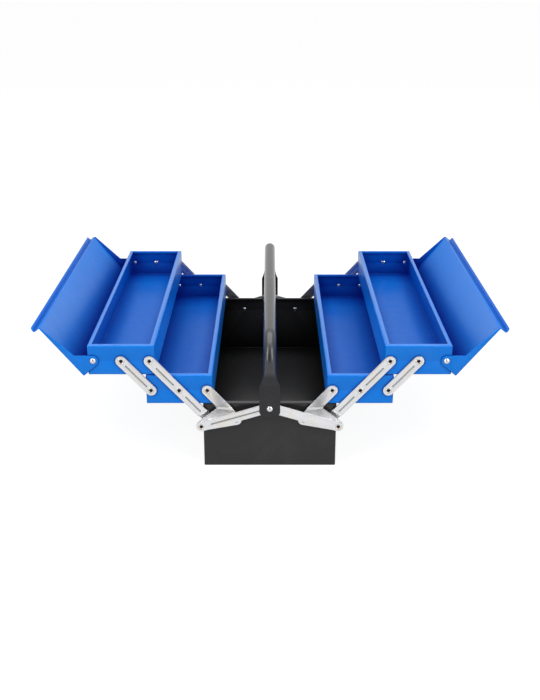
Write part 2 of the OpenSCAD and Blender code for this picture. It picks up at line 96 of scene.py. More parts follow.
class Graph:
    """A node tree with short calls to add nodes and join them.

    Attributes:
        tree: The tree that the calls work on.
    """

    def __init__(self, tree: bpy.types.NodeTree) -> None:
        """Starts a graph on a tree."""
        self.tree = tree

    def add(self, kind: str, inputs: dict | None = None, **settings: object) -> bpy.types.Node:
        """Adds a node.

        Args:
            kind: Blender's type name of the node.
            inputs: Sockets by name or number, each with a value or with the socket it reads.
            **settings: Properties of the node itself.

        Returns:
            The new node.
        """
        node = self.tree.nodes.new(kind)
        for name, value in settings.items():
            setattr(node, name, value)
        for key, value in (inputs or {}).items():
            if isinstance(value, Socket):
                self.tree.links.new(value, node.inputs[key])
            else:
                node.inputs[key].default_value = value
        return node

    def math(self, operation: str, *values: object, clamp: bool = False) -> Socket:
        """Adds a Math node on numbers or sockets.

        Args:
            operation: Name of the operation.
            *values: What it works on, in order.
            clamp: Whether the result stays between 0 and 1.

        Returns:
            The result's socket.
        """
        node = self.add("ShaderNodeMath", dict(enumerate(values)), operation=operation)
        node.use_clamp = clamp
        return node.outputs[0]

    def plus(self, a: object, b: object, clamp: bool = False) -> Socket:
        """The sum of two numbers or sockets."""
        return self.math("ADD", a, b, clamp=clamp)

    def minus(self, a: object, b: object) -> Socket:
        """The first number or socket less the second."""
        return self.math("SUBTRACT", a, b)

    def times(self, a: object, b: object, clamp: bool = False) -> Socket:
        """The product of two numbers or sockets."""
        return self.math("MULTIPLY", a, b, clamp=clamp)

    def between(self, a: object, b: object, share: object) -> Socket:
        """The number a where the share is 0 and b where it is 1, mixed in between."""
        return self.plus(a, self.times(self.minus(b, a), share))

    def spread(self, value: object, low: float, high: float) -> Socket:
        """Maps a value between 0 and 1 to the range from low to high."""
        node = self.add("ShaderNodeMapRange", {"Value": value, "To Min": low, "To Max": high})
        return node.outputs["Result"]

    def ramp(self, value: object, low: float, high: float, **settings: object) -> Socket:
        """Maps a value to the range from 0 to 1.

        Args:
            value: Number or socket.
            low: The value that gives 0.
            high: The value that gives 1.
            **settings: Properties of the node itself.

        Returns:
            The result's socket.
        """
        node = self.add("ShaderNodeMapRange", {"Value": value, "From Min": low,
                                               "From Max": high}, **settings)
        return node.outputs["Result"]

    def mix(self, factor: object, a: object, b: object, blend: str = "MIX") -> Socket:
        """Blends two colours.

        Args:
            factor: How much of the second colour shows.
            a: First colour or its socket.
            b: Second colour or its socket.
            blend: Name of the way in which they blend.

        Returns:
            The colour's socket.
        """
        node = self.add("ShaderNodeMix", {"Factor": factor, "A": a, "B": b},
                        data_type="RGBA", blend_type=blend)
        return node.outputs["Result"]

    def noise(self, where: Socket, scale: object, detail: float = 2.0, rough: float = 0.5,
              warp: float = 0.0) -> Socket:
        """Noise between 0 and 1.

        Args:
            where: The place that it is read at.
            scale: How fine it is, as a number or socket.
            detail: Number of finer layers over it.
            rough: How strong the finer layers are.
            warp: How far it is distorted.

        Returns:
            The value's socket.
        """
        node = self.add("ShaderNodeTexNoise", {"Vector": where, "Scale": scale, "Detail": detail,
                                               "Roughness": rough, "Distortion": warp})
        return node.outputs[0]

    def shut_in(self, reach: float, alone: bool) -> Socket:
        """How much of a place is covered by what lies near it.

        Args:
            reach: How near, in millimetres.
            alone: Whether only the piece itself counts, and not its neighbours.

        Returns:
            A socket that gives 0 on open faces and up to 1 in corners.
        """
        node = self.add("ShaderNodeAmbientOcclusion", {"Distance": reach * MM},
                        samples=COVER_SAMPLES, only_local=alone)
        return self.minus(1.0, node.outputs["AO"])

    def join(self, a: Socket, b: Socket) -> None:
        """Links socket a to socket b."""
        self.tree.links.new(a, b)

    def surface(self, shader: bpy.types.Node, output: str = "ShaderNodeOutputMaterial") -> None:
        """Adds the tree's output node and gives it a shader."""
        self.join(shader.outputs[0], self.add(output).inputs["Surface"])


def emptied(holder: bpy.types.Material | bpy.types.World) -> Graph:
    """Turns on the nodes of a material or a world and clears them.

    Args:
        holder: The material or world.

    Returns:
        Its graph, with no nodes.
    """
    holder.use_nodes = True
    holder.node_tree.nodes.clear()
    return Graph(holder.node_tree)


def group_tree(name: str, kind: str, inputs: Iterable[tuple], outputs: Iterable[tuple]) -> Graph:
    """Makes a node group with named inputs and outputs.

    Args:
        name: Name of the group.
        kind: "ShaderNodeTree" or "GeometryNodeTree".
        inputs: Name, socket type and default value of each input.
        outputs: Name and socket type of each output.

    Returns:
        The group's graph, with its two end nodes not yet added.
    """
    tree = bpy.data.node_groups.new(name, kind)
    for label, socket, default in inputs:
        item = tree.interface.new_socket(label, in_out="INPUT", socket_type=socket)
        if default is not None:
            item.default_value = default
    for label, socket in outputs:
        tree.interface.new_socket(label, in_out="OUTPUT", socket_type=socket)
    return Graph(tree)


class Effects:
    """Shader groups that several finishes share, each built once."""

    @classmethod
    def _group(cls, name: str, numbers: dict[str, float], outputs: Sequence[str],
               fill: Callable[[Graph, Sequence[Socket]], Sequence[Socket]]
               ) -> bpy.types.NodeTree:
        """Finds a group, or builds it.

        Args:
            name: Name of the group.
            numbers: Its inputs beside Vector, with their default values.
            outputs: Names of its outputs.
            fill: Adds the group's nodes to a graph, reading the group's inputs by name, and
                returns what each output gives.

        Returns:
            The group.
        """
        made = bpy.data.node_groups.get(name)
        if made:
            return made
        number = "NodeSocketFloat"
        g = group_tree(name, "ShaderNodeTree",
                       [("Vector", "NodeSocketVector", None),
                        *((label, number, value) for label, value in numbers.items())],
                       [(label, number) for label in outputs])
        given, end = g.add("NodeGroupInput").outputs, g.add("NodeGroupOutput")
        for result, socket in zip(fill(g, given), end.inputs):
            g.join(result, socket)
        return g.tree

    @classmethod
    def peel(cls) -> bpy.types.NodeTree:
        """Orange peel of a baked powder coat, and its slow drift in shade and gloss.

        Returns:
            A group with inputs Vector, Grain and Drift, and outputs Height, Shade and Gloss.
        """
        def fill(g: Graph, given: Sequence[Socket]) -> list[Socket]:
            """Noise at three scales.

            Args:
                g: The group's graph.
                given: Its inputs.

            Returns:
                What the outputs give.
            """
            where = given["Vector"]
            return [g.noise(where, given["Grain"]),
                    g.noise(where, given["Drift"], detail=3.0, rough=0.55),
                    g.noise(where, scale=60.0, detail=4.0)]

        return cls._group("powder_peel", {"Grain": 900.0, "Drift": 9.0},
                          ["Height", "Shade", "Gloss"], fill)

    @classmethod
    def strokes(cls) -> bpy.types.NodeTree:
        """Fine lines that run one way, as rolling and handling leave on plated strip.

        Returns:
            A group with inputs Vector, Turn and Fineness, and outputs Height, Line and Cloud.
        """
        def fill(g: Graph, given: Sequence[Socket]) -> list[Socket]:
            """Noise stretched along one direction, and clouds over it.

            Args:
                g: The group's graph.
                given: Its inputs.

            Returns:
                What the outputs give.
            """
            turned = g.add("ShaderNodeVectorRotate",
                           {"Vector": given["Vector"], "Axis": (0.0, 1.0, 0.0),
                            "Angle": given["Turn"]}, rotation_type="AXIS_ANGLE")
            thin = g.add("ShaderNodeVectorMath", {0: turned.outputs[0], 1: STRETCH},
                         operation="MULTIPLY")
            line = g.noise(thin.outputs[0], given["Fineness"], detail=3.0)
            return [line, line, g.noise(given["Vector"], scale=70.0, detail=5.0, rough=0.6)]

        return cls._group("rolling_strokes", {"Turn": 0.0, "Fineness": 700.0},
                          ["Height", "Line", "Cloud"], fill)

    @classmethod
    def dust(cls) -> bpy.types.NodeTree:
        """Sparse specks and faint rub marks that settle on any finish.

        Returns:
            A group with inputs Vector and Amount, and output Mask.
        """
        def fill(g: Graph, given: Sequence[Socket]) -> list[Socket]:
            """Specks at scattered points, and patches from noise.

            Args:
                g: The group's graph.
                given: Its inputs.

            Returns:
                What the output gives.
            """
            cells = g.add("ShaderNodeTexVoronoi", {"Vector": given["Vector"], "Scale": 260.0,
                                                   "Randomness": 1.0})
            speck = g.math("LESS_THAN", cells.outputs["Distance"], SPECK_SIZE)
            cloud = g.noise(given["Vector"], scale=14.0, detail=6.0, rough=0.7)
            patch = g.ramp(cloud, low=0.5, high=0.75)
            both = g.math("MAXIMUM", g.times(speck, SPECK_SHARE), patch)
            return [g.times(both, given["Amount"], clamp=True)]

        return cls._group("dust_specks", {"Amount": 0.1}, ["Mask"], fill)


# ---- finishes ----

# Samples of each look at what covers a place.
COVER_SAMPLES = 8
# Size of a dust speck in its cell, and how strong it is beside a patch.
SPECK_SIZE, SPECK_SHARE = 0.06, 0.6
# How noise is scaled along X, Y and Z before it is turned into rolling lines.
STRETCH = (0.03, 1.0, 1.0)
# Paint: darkest and lightest shade of the drift, and how light the dust on it is.
LOW_SHADE, HIGH_SHADE, DUST_LIGHT = 0.93, 1.06, 0.5
# Paint: share and tone of the painted shade in corners, and reach in millimetres of the painted
# shade in deep places.
CORNER_SHADE_SHARE, CORNER_SHADE_TONE, DEEP_SHADE_REACH = 0.9, 0.35, 70.0
# Paint: range of the roughness, and what dust and deep places add to it.
GLOSS_DRIFT, DUSTY_ROUGH, DEEP_ROUGH = 0.06, 0.6, 0.35
# Paint: how fast the clear gloss fades in deep places, and its roughness.
GLOSS_FADE, CLEAR_ROUGH = 2.2, 0.2
# Zinc: share and tone of the rolling lines, and strength and colour of the painted shade in
# grooves and corners.
LINE_SHARE, LINE_SHADE, PLATE_SHADE_STRENGTH = 0.7, 0.55, 3.0
GROOVE_SHADE_COLOUR = (0.05, 0.05, 0.055, 1.0)
# Zinc: amount of dust, range of the roughness, and what dust adds to it.
PLATE_DUST, PLATE_DRIFT, PLATE_DUSTY_ROUGH = 0.25, 0.14, 0.4
# Zinc: place and colour of each tint of the passivation.
TINTS = ((0.32, (0.99, 0.90, 0.78)), (0.44, (1.0, 1.0, 1.0)), (0.53, (0.96, 0.93, 1.0)),
         (0.62, (1.0, 1.0, 1.0)), (0.72, (0.87, 0.95, 1.0)))


def lighter(colour: Colour, share: float) -> tuple[float, float, float, float]:
    """A colour moved towards white by a share of the way, with full alpha."""
    return (*(c + (1.0 - c) * share for c in colour), 1.0)


def scaled(colour: Colour, factor: float) -> tuple[float, float, float, float]:
    """A colour with each channel times a factor, with full alpha."""
    return (*(min(1.0, c * factor) for c in colour), 1.0)


@dataclass(frozen=True)
class Finish:
    """What a surface is made of.

    Attributes:
        name: Name of the material.
    """

    name: str

    def material(self) -> bpy.types.Material:
        """Finds the finish as a material, or builds it.

        Returns:
            The material.
        """
        made = bpy.data.materials.get(self.name)
        if not made:
            made = bpy.data.materials.new(self.name)
            g = emptied(made)
            g.surface(self.dress(g, g.add("ShaderNodeTexCoord").outputs["Object"]))
        return made

    def dress(self, g: Graph, here: Socket) -> bpy.types.Node:
        """Adds the finish's own nodes.

        Args:
            g: Graph of the material.
            here: Object coordinates.

        Returns:
            The shader.
        """
        raise NotImplementedError


@dataclass(frozen=True)
class PowderCoat(Finish):
    """Baked powder coat on sheet steel.

    Attributes:
        colour: Base colour.
        rough: Middle of the roughness range.
        peel_depth: Depth of the orange peel.
        shine: Specular level.
        dusting: How much dust shows.
        crease: Reach in millimetres of the painted shade in corners and under what lies on the
            sheet.
        depth: How far the paint turns to its shadow colour in deep and narrow places.
        shadow: The shadow colour.
        alone: Whether only the piece itself counts for that, and not its neighbours.
        gloss: Weight of the clear gloss on open faces. It fades out inside a box.
        polish: Weight of the gloss that hands leave, where the attribute "handled" is 1.
    """

    colour: Colour
    rough: float = 0.36
    peel_depth: float = 0.00004
    shine: float = 0.5
    dusting: float = 0.05
    crease: float = 3.5
    depth: float = 1.0
    shadow: Colour = (0.001, 0.001, 0.001)
    alone: bool = True
    gloss: float = 0.5
    polish: float = 0.0

    def dress(self, g: Graph, here: Socket) -> bpy.types.Node:
        """Adds the paint's nodes.

        Args:
            g: Graph of the material.
            here: Object coordinates.

        Returns:
            The shader.
        """
        peel = g.add("ShaderNodeGroup", {"Vector": here}, node_tree=Effects.peel()).outputs
        dust = g.add("ShaderNodeGroup", {"Vector": here, "Amount": self.dusting},
                     node_tree=Effects.dust()).outputs["Mask"]
        shade = g.mix(peel["Shade"], scaled(self.colour, LOW_SHADE),
                      scaled(self.colour, HIGH_SHADE))
        dusty = g.mix(dust, shade, lighter(self.colour, DUST_LIGHT))
        # Painted shade: the colour darkens where neighbours lie within a few millimetres, in
        # corners and under parts laid on the sheet.
        painted_shade = g.times(g.shut_in(self.crease, False), CORNER_SHADE_SHARE, clamp=True)
        creased = g.mix(painted_shade, dusty, scaled(self.colour, CORNER_SHADE_TONE))
        # Painted shade: wide occlusion turns the colour towards the shadow colour in deep places
        # inside the boxes.
        deep_shade = g.times(g.shut_in(DEEP_SHADE_REACH, self.alone), self.depth, clamp=True)
        deep = g.mix(deep_shade, creased, (*self.shadow, 1.0))
        worn = g.plus(g.times(dust, DUSTY_ROUGH), g.times(deep_shade, DEEP_ROUGH))
        rough = g.plus(g.spread(peel["Gloss"], self.rough - GLOSS_DRIFT,
                                self.rough + GLOSS_DRIFT), worn, clamp=True)
        bump = g.add("ShaderNodeBump", {"Height": peel["Height"], "Strength": 1.0,
                                        "Distance": self.peel_depth})
        handled = g.add("ShaderNodeAttribute", attribute_name="handled").outputs["Fac"]
        polish = g.times(handled, self.polish, clamp=True)
        fresh = g.minus(1.0, g.times(deep_shade, GLOSS_FADE / self.depth, clamp=True))
        clear = g.plus(g.times(fresh, self.gloss), polish, clamp=True)
        return g.add("ShaderNodeBsdfPrincipled",
                     {"Base Color": deep, "Roughness": rough, "Normal": bump.outputs[0],
                      "Specular IOR Level": self.shine, "Metallic": 0.0,
                      "Coat Weight": clear, "Coat Roughness": CLEAR_ROUGH})


@dataclass(frozen=True)
class ZincPlate(Finish):
    """Bright zinc on steel, with rolling lines and the faint tints of its passivation.

    Attributes:
        turn: Angle in degrees, about Y, that brings the rolling lines level.
        colour: Colour of the metal.
        rough: Middle of the roughness range.
        tint: How far the tints go.
        crease: Reach in millimetres of the painted shade in grooves and corners.
    """

    turn: float = 0.0
    colour: Colour = (0.9, 0.905, 0.91)
    rough: float = 0.34
    tint: float = 0.5
    crease: float = 1.6

    def dress(self, g: Graph, here: Socket) -> bpy.types.Node:
        """Adds the plating's nodes.

        Args:
            g: Graph of the material.
            here: Object coordinates.

        Returns:
            The shader.
        """
        strokes = g.add("ShaderNodeGroup", {"Vector": here, "Turn": math.radians(self.turn)},
                        node_tree=Effects.strokes()).outputs
        dust = g.add("ShaderNodeGroup", {"Vector": here, "Amount": PLATE_DUST},
                     node_tree=Effects.dust()).outputs["Mask"]
        tints = g.add("ShaderNodeValToRGB", {"Fac": g.noise(here, scale=45.0, warp=0.6)})
        stops = tints.color_ramp.elements
        for number, (place, tone) in enumerate(TINTS):
            stop = stops[number] if number < 2 else stops.new(place)
            stop.position = place
            stop.color = (*tone, 1.0)
        tinted = g.mix(self.tint, (*self.colour, 1.0), tints.outputs[0], "MULTIPLY")
        worn = g.times(strokes["Line"], strokes["Cloud"])
        shade = g.mix(g.times(worn, LINE_SHARE, clamp=True), tinted,
                      scaled(self.colour, LINE_SHADE))
        # Painted shade: grooves and corners darken towards a near-black colour.
        painted_shade = g.times(g.shut_in(self.crease, True), PLATE_SHADE_STRENGTH, clamp=True)
        rough = g.plus(g.spread(strokes["Cloud"], self.rough - PLATE_DRIFT,
                                self.rough + PLATE_DRIFT),
                       g.times(dust, PLATE_DUSTY_ROUGH), clamp=True)
        bump = g.add("ShaderNodeBump", {"Height": strokes["Height"], "Strength": 0.5,
                                        "Distance": 0.00002})
        return g.add("ShaderNodeBsdfPrincipled",
                     {"Base Color": g.mix(painted_shade, shade, GROOVE_SHADE_COLOUR), "Roughness": rough,
                      "Normal": bump.outputs[0], "Metallic": 1.0})


BLUE = PowderCoat("blue_powder_coat", (0.0, 0.22, 0.85), rough=0.3, shine=0.12,
                  dusting=0.03, depth=1.35, shadow=(0.0, 0.01, 0.3), alone=False, gloss=0.38,
                  polish=0.62)
ANTHRACITE = PowderCoat("anthracite_powder_coat", (0.021, 0.021, 0.0225), rough=0.4,
                        shine=0.1, dusting=0.02, depth=1.95, gloss=0.6, polish=0.4)
SATIN_BLACK = PowderCoat("satin_black_coat", (0.019, 0.0185, 0.022), rough=0.3,
                         peel_depth=0.00003, shine=0.35, dusting=0.03, gloss=0.0, polish=1.0)
BRIGHT_RIVET = ZincPlate("bright_rivet", colour=(0.76, 0.76, 0.77), rough=0.22, tint=0.3)
SPACER_ZINC = ZincPlate("spacer_zinc", colour=(0.55, 0.56, 0.57), rough=0.4)
# Painted shade: the bore of a hollow rivet is coloured near black, as it lies in shade.
BORE_PAINTED_SHADE = ZincPlate("rivet_bore", colour=(0.02, 0.02, 0.02), rough=0.5, tint=0.2)
# Partly painted highlight: the throat is plated metal that takes real light, and its warm copper
# colour is painted to stand in for a warm highlight.
THROAT_PAINTED_HIGHLIGHT = ZincPlate("rivet_throat", colour=(0.62, 0.42, 0.24), rough=0.35, tint=0.2)


# ---- sizes ----


@dataclass(frozen=True)
class Sizes:
    """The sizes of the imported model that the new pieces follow, in millimetres.

    Attributes:
        half_length: Half the length of the base.
        pitch_x: Lean of the levers, box open.
        pitch_z: Rise of the levers, box open.
        spacing: Distance between the pivots on one tray.
        middle: Distance of the crank's base pivot from the middle.
        pivot_z: Height of the base pivots.
        foot_outside: Distance of the link's foot beyond the lever's base pivot.
        foot_drop: Depth of the link's foot below the base pivots.
        pin_rise: Height of the handle's pins above the base pivots.
    """

    half_length: float = 250.0
    pitch_x: float = 42.4
    pitch_z: float = 46.5
    spacing: float = 41.6
    middle: float = 50.2
    pivot_z: float = 80.8
    foot_outside: float = 10.6
    foot_drop: float = 9.8
    pin_rise: float = 21.2

    @property
    def crank_foot(self) -> Point:
        """The crank's base pivot."""
        return (self.middle, self.pivot_z)

    @property
    def lever_foot(self) -> Point:
        """The long lever's base pivot."""
        return (self.middle + self.spacing, self.pivot_z)

    def raised(self, point: Point, steps: int) -> Point:
        """A pivot that lies some levers' steps out and up from another."""
        return (point[0] + steps * self.pitch_x, point[1] + steps * self.pitch_z)

    def along(self, point: Point, steps: int) -> Point:
        """A pivot that lies some spacings further out on the same tray."""
        return (point[0] + steps * self.spacing, point[1])

    @property
    def lower_pivots(self) -> list[Point]:
        """Pivots on a lower tray."""
        inner = self.raised(self.crank_foot, 1)
        return [inner, self.along(inner, 1), self.along(inner, 2)]

    @property
    def upper_pivots(self) -> list[Point]:
        """Lever pivots on an upper tray."""
        inner = self.raised(self.lever_foot, 2)
        return [inner, self.along(inner, 1)]

    @property
    def lid_pivot(self) -> Point:
        """The lid's hinge."""
        return self.along(self.raised(self.lever_foot, 2), 2)

    @property
    def link_pivot(self) -> Point:
        """The link's foot on the crank."""
        foot = self.crank_foot
        return (foot[0] + self.spacing + self.foot_outside, foot[1] - self.foot_drop)

    @property
    def handle_pin(self) -> Point:
        """The handle's pivot."""
        return (0.0, self.pivot_z + self.pin_rise)


SIZES = Sizes()


# ---- meshes ----

# Distances in metres under which points are one, in a copied and in a grown mesh.
COPY_WELD, GROWN_WELD = 2e-6, 1e-6
# Angles in degrees: between triangles of one face, past which an edge is rounded, and past
# which an edge is shaded sharp in a copied and in a grown mesh.
FLAT, ROUNDED, COPY_SHARP, GROWN_SHARP = 0.4, 38.0, 32.0, 40.0
# Segments round a large corner and round a small edge.
CORNER_SEGMENTS, EDGE_SEGMENTS = 7, 2
# How an outer corner's edge is told, in millimetres: it is shorter than the first, and lies
# no further than the others from the ends in X and in Y.
CORNER_EDGE, NEAR_X, NEAR_Y = 1.2, 1.0, 0.1


def placed(name: str, data: bpy.types.ID) -> bpy.types.Object:
    """Adds an object to the scene, at the origin.

    Args:
        name: Name of the object.
        data: Its mesh, lamp or camera.

    Returns:
        The new object.
    """
    thing = bpy.data.objects.new(name, data)
    bpy.context.scene.collection.objects.link(thing)
    return thing


def settle(piece: bpy.types.Object, body: str, nodes: Sequence[str]) -> None:
    """Makes a finished piece ride on its body, in the place of CAD nodes.

    Args:
        piece: The finished piece.
        body: Name of the body.
        nodes: The CAD nodes that it stands for.
    """
    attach(piece, body)
    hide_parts(*nodes)
    log.info("%s: %d faces, rides on %s", piece.name, len(piece.data.polygons), body)


def smooth_by_angle(mesh: bpy.types.Mesh, degrees: float) -> None:
    """Shades a mesh smooth, with sharp edges past an angle.

    Args:
        mesh: The mesh.
        degrees: The angle.
    """
    mesh.polygons.foreach_set("use_smooth", [True] * len(mesh.polygons))
    mesh.set_sharp_from_angle(angle=math.radians(degrees))
    mesh.update()


def outer_corners(bm: bmesh.types.BMesh) -> list[bmesh.types.BMEdge]:
    """Edges through the sheet at the corners that lie furthest out along X.

    Args:
        bm: The mesh.

    Returns:
        Its edges there.
    """
    far_x = max(abs(v.co.x) for v in bm.verts)
    far_y = max(abs(v.co.y) for v in bm.verts)
    return [e for e in bm.edges if e.calc_length() < CORNER_EDGE * MM
            and all(abs(v.co.x) > far_x - NEAR_X * MM and abs(v.co.y) > far_y - NEAR_Y * MM
                    for v in e.verts)]


def soft_copy(node: str, name: str, finish: Finish, width: float, corner: float = 0.0,
              rim: float = 0.0) -> bpy.types.Object:
    """Copies a CAD node, merges its triangles and rounds its sharp edges a little.

    Args:
        node: The CAD node.
        name: Name of the new piece.
        finish: Its finish.
        width: Width of the rounding in millimetres.
        corner: Radius in millimetres of the outermost corners, or 0 to leave them.
        rim: Depth in millimetres over which hands have polished its top edge, or 0.

    Returns:
        The new piece, at the origin.
    """
    bm = bmesh.new()
    bm.from_mesh(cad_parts[node].data)
    bmesh.ops.remove_doubles(bm, verts=bm.verts, dist=COPY_WELD)
    bmesh.ops.dissolve_limit(bm, angle_limit=math.radians(FLAT), verts=bm.verts,
                             edges=bm.edges, use_dissolve_boundaries=False)
    if corner:
        bmesh.ops.bevel(bm, geom=outer_corners(bm), offset=corner * MM, profile=0.5,
                        segments=CORNER_SEGMENTS, affect="EDGES", clamp_overlap=True)
    sharp = [e for e in bm.edges if len(e.link_faces) == 2
             and e.calc_face_angle(0.0) > math.radians(ROUNDED)]
    bmesh.ops.bevel(bm, geom=sharp, offset=width * MM, profile=0.5,
                    segments=EDGE_SEGMENTS, affect="EDGES", clamp_overlap=True,
                    loop_slide=True)
    bmesh.ops.triangulate(bm, faces=[f for f in bm.faces if len(f.verts) > 4])
    if rim:
        polished, top = bm.verts.layers.float.new("handled"), max(v.co.z for v in bm.verts)
        for v in bm.verts:
            v[polished] = max(0.0, 1.0 - (top - v.co.z) / (rim * MM))
    mesh = bpy.data.meshes.new(name)
    bm.to_mesh(mesh)
    bm.free()
    smooth_by_angle(mesh, COPY_SHARP)
    mesh.materials.append(finish.material())
    return placed(name, mesh)


def input_id(tree: bpy.types.NodeTree, name: str) -> str:
    """Identifier of a node group's input.

    Args:
        tree: The group.
        name: Name of the input.

    Returns:
        The identifier that a modifier knows it by.
    """
    for item in tree.interface.items_tree:
        if item.item_type == "SOCKET" and item.in_out == "INPUT" and item.name == name:
            return item.identifier
    raise KeyError(name)


def grown(seed_mesh: bpy.types.Mesh, name: str, tree: bpy.types.NodeTree,
          **values: float) -> bpy.types.Object:
    """Runs a geometry-nodes tree on a mesh and keeps the result as a plain mesh.

    Args:
        seed_mesh: What the tree starts from.
        name: Name of the new piece.
        tree: The tree.
        **values: Its inputs that differ from their defaults, by name.

    Returns:
        The new piece, at the origin, with no modifier left.
    """
    piece = placed(name, seed_mesh)
    modifier = piece.modifiers.new("grow", "NODES")
    modifier.node_group = tree
    for label, value in values.items():
        modifier[input_id(tree, label)] = value
    graph = bpy.context.evaluated_depsgraph_get()
    mesh = bpy.data.meshes.new_from_object(piece.evaluated_get(graph), depsgraph=graph)
    piece.modifiers.clear()
    piece.data = mesh
    mesh.name = name
    bm = bmesh.new()
    bm.from_mesh(mesh)
    bmesh.ops.remove_doubles(bm, verts=bm.verts, dist=GROWN_WELD)
    bmesh.ops.recalc_face_normals(bm, faces=bm.faces)
    bm.to_mesh(mesh)
    bm.free()
    smooth_by_angle(mesh, GROWN_SHARP)
    return piece


# ---- rivets ----

# Sizes of a rivet in millimetres: radii of its shank, of the tenon through the sheet and of
# its inner head, rise of that head, and thickness of the sheet with its seat.
SHANK, TENON, HEAD, HEAD_RISE, THROUGH = 3.0, 1.8, 4.2, 1.2, 1.05
# A domed outer head in millimetres: radius of its seat, radius of its dome and its rise.
SEAT, DOME, DOME_RISE = 4.15, 4.4, 2.0
# A rolled outer head as (radius, height) in millimetres: its seat and back, its throat, and
# its bore down to the floor.
ROLLED = [(4.65, 0.0), (4.9, 0.14), (5.0, 0.36), (4.86, 0.58), (4.5, 0.71), (4.0, 0.75),
          (3.45, 0.66), (2.95, 0.42), (2.6, 0.06), (2.4, -0.5), (2.3, -0.9), (2.3, -1.5),
          (0.0, -1.6)]
# Steps at the end of a hollow rivet's profile: its throat and bore, and the bore's floor.
THROAT_STEPS, FLOOR_STEPS = 5, 1
# Seed of the small ways in which the rivets lie askew.
RIVET_SEED = 7
# Distance in metres under which a turned profile's points are one.
RIVET_WELD = 4e-6


class RivetKind(Enum):
    """Shapes of rivet, by the name of the tree that makes them."""

    TUBULAR = "tubular_rivet"
    DOMED = "domed_rivet"
    COUNTERSUNK = "countersunk_rivet"
    PIN = "handle_pin"


def arc(radius: float, height: float, steps: int, outward: bool) -> list[Point]:
    """Points of a dome's profile.

    Args:
        radius: Radius of the dome's foot.
        height: Its height.
        steps: Number of steps.
        outward: Whether the dome rises outward, from its foot to its top.

    Returns:
        Radius and height of each point, from foot to top, or the other way where not outward.
    """
    curve = (radius * radius + height * height) / (2 * height)
    half = math.asin(radius / curve)
    points = []
    for i in range(steps + 1):
        a = half * (1 - i / steps)
        points.append((curve * math.sin(a), curve * math.cos(a) - curve + height))
    if outward:
        return points
    return [(r, -h) for r, h in reversed(points)]


def profile_of(kind: RivetKind) -> list[tuple[float, float, float]]:
    """Profile of a rivet, from the middle of its inner end to the middle of its outer end.

    Args:
        kind: Shape of the rivet.

    Returns:
        Radius, height and 0 or 1 for each point. Points with 1 move out with the grip.
    """
    inner = arc(HEAD, HEAD_RISE, steps=6, outward=False)
    inner += [(TENON, 0.0), (TENON, THROUGH), (SHANK, THROUGH)]
    if kind is RivetKind.COUNTERSUNK:
        inner = [(0.0, 0.0), (HEAD, 0.0), (SHANK, HEAD_RISE)]
    if kind is RivetKind.PIN:
        inner = [(0.0, 0.0), (SHANK, 0.0)]
    outer = [(SHANK, 0.0), *ROLLED]
    if kind in (RivetKind.DOMED, RivetKind.PIN):
        outer = [(SHANK, 0.0), (SEAT, 0.0)] + arc(DOME, DOME_RISE, steps=7, outward=True)
    return [(r, h, 0.0) for r, h in inner] + [(r, h, 1.0) for r, h in outer]


def curve_node(g: Graph, factor: Socket, values: Sequence[float]) -> Socket:
    """A Float Curve that gives evenly spaced values, joined by straight lines.

    Args:
        g: The graph.
        factor: Place along the values, from 0 to 1.
        values: Numbers between 0 and 1.

    Returns:
        The value's socket.
    """
    node = g.add("ShaderNodeFloatCurve", {"Value": factor})
    points = node.mapping.curves[0].points
    last = len(values) - 1
    for number, value in enumerate(values):
        place = number / last
        if number in (0, last):
            point = points[0 if number == 0 else len(points) - 1]
            point.location = (place, value)
        else:
            point = points.new(place, value)
        point.handle_type = "VECTOR"
    node.mapping.update()
    return node.outputs[0]


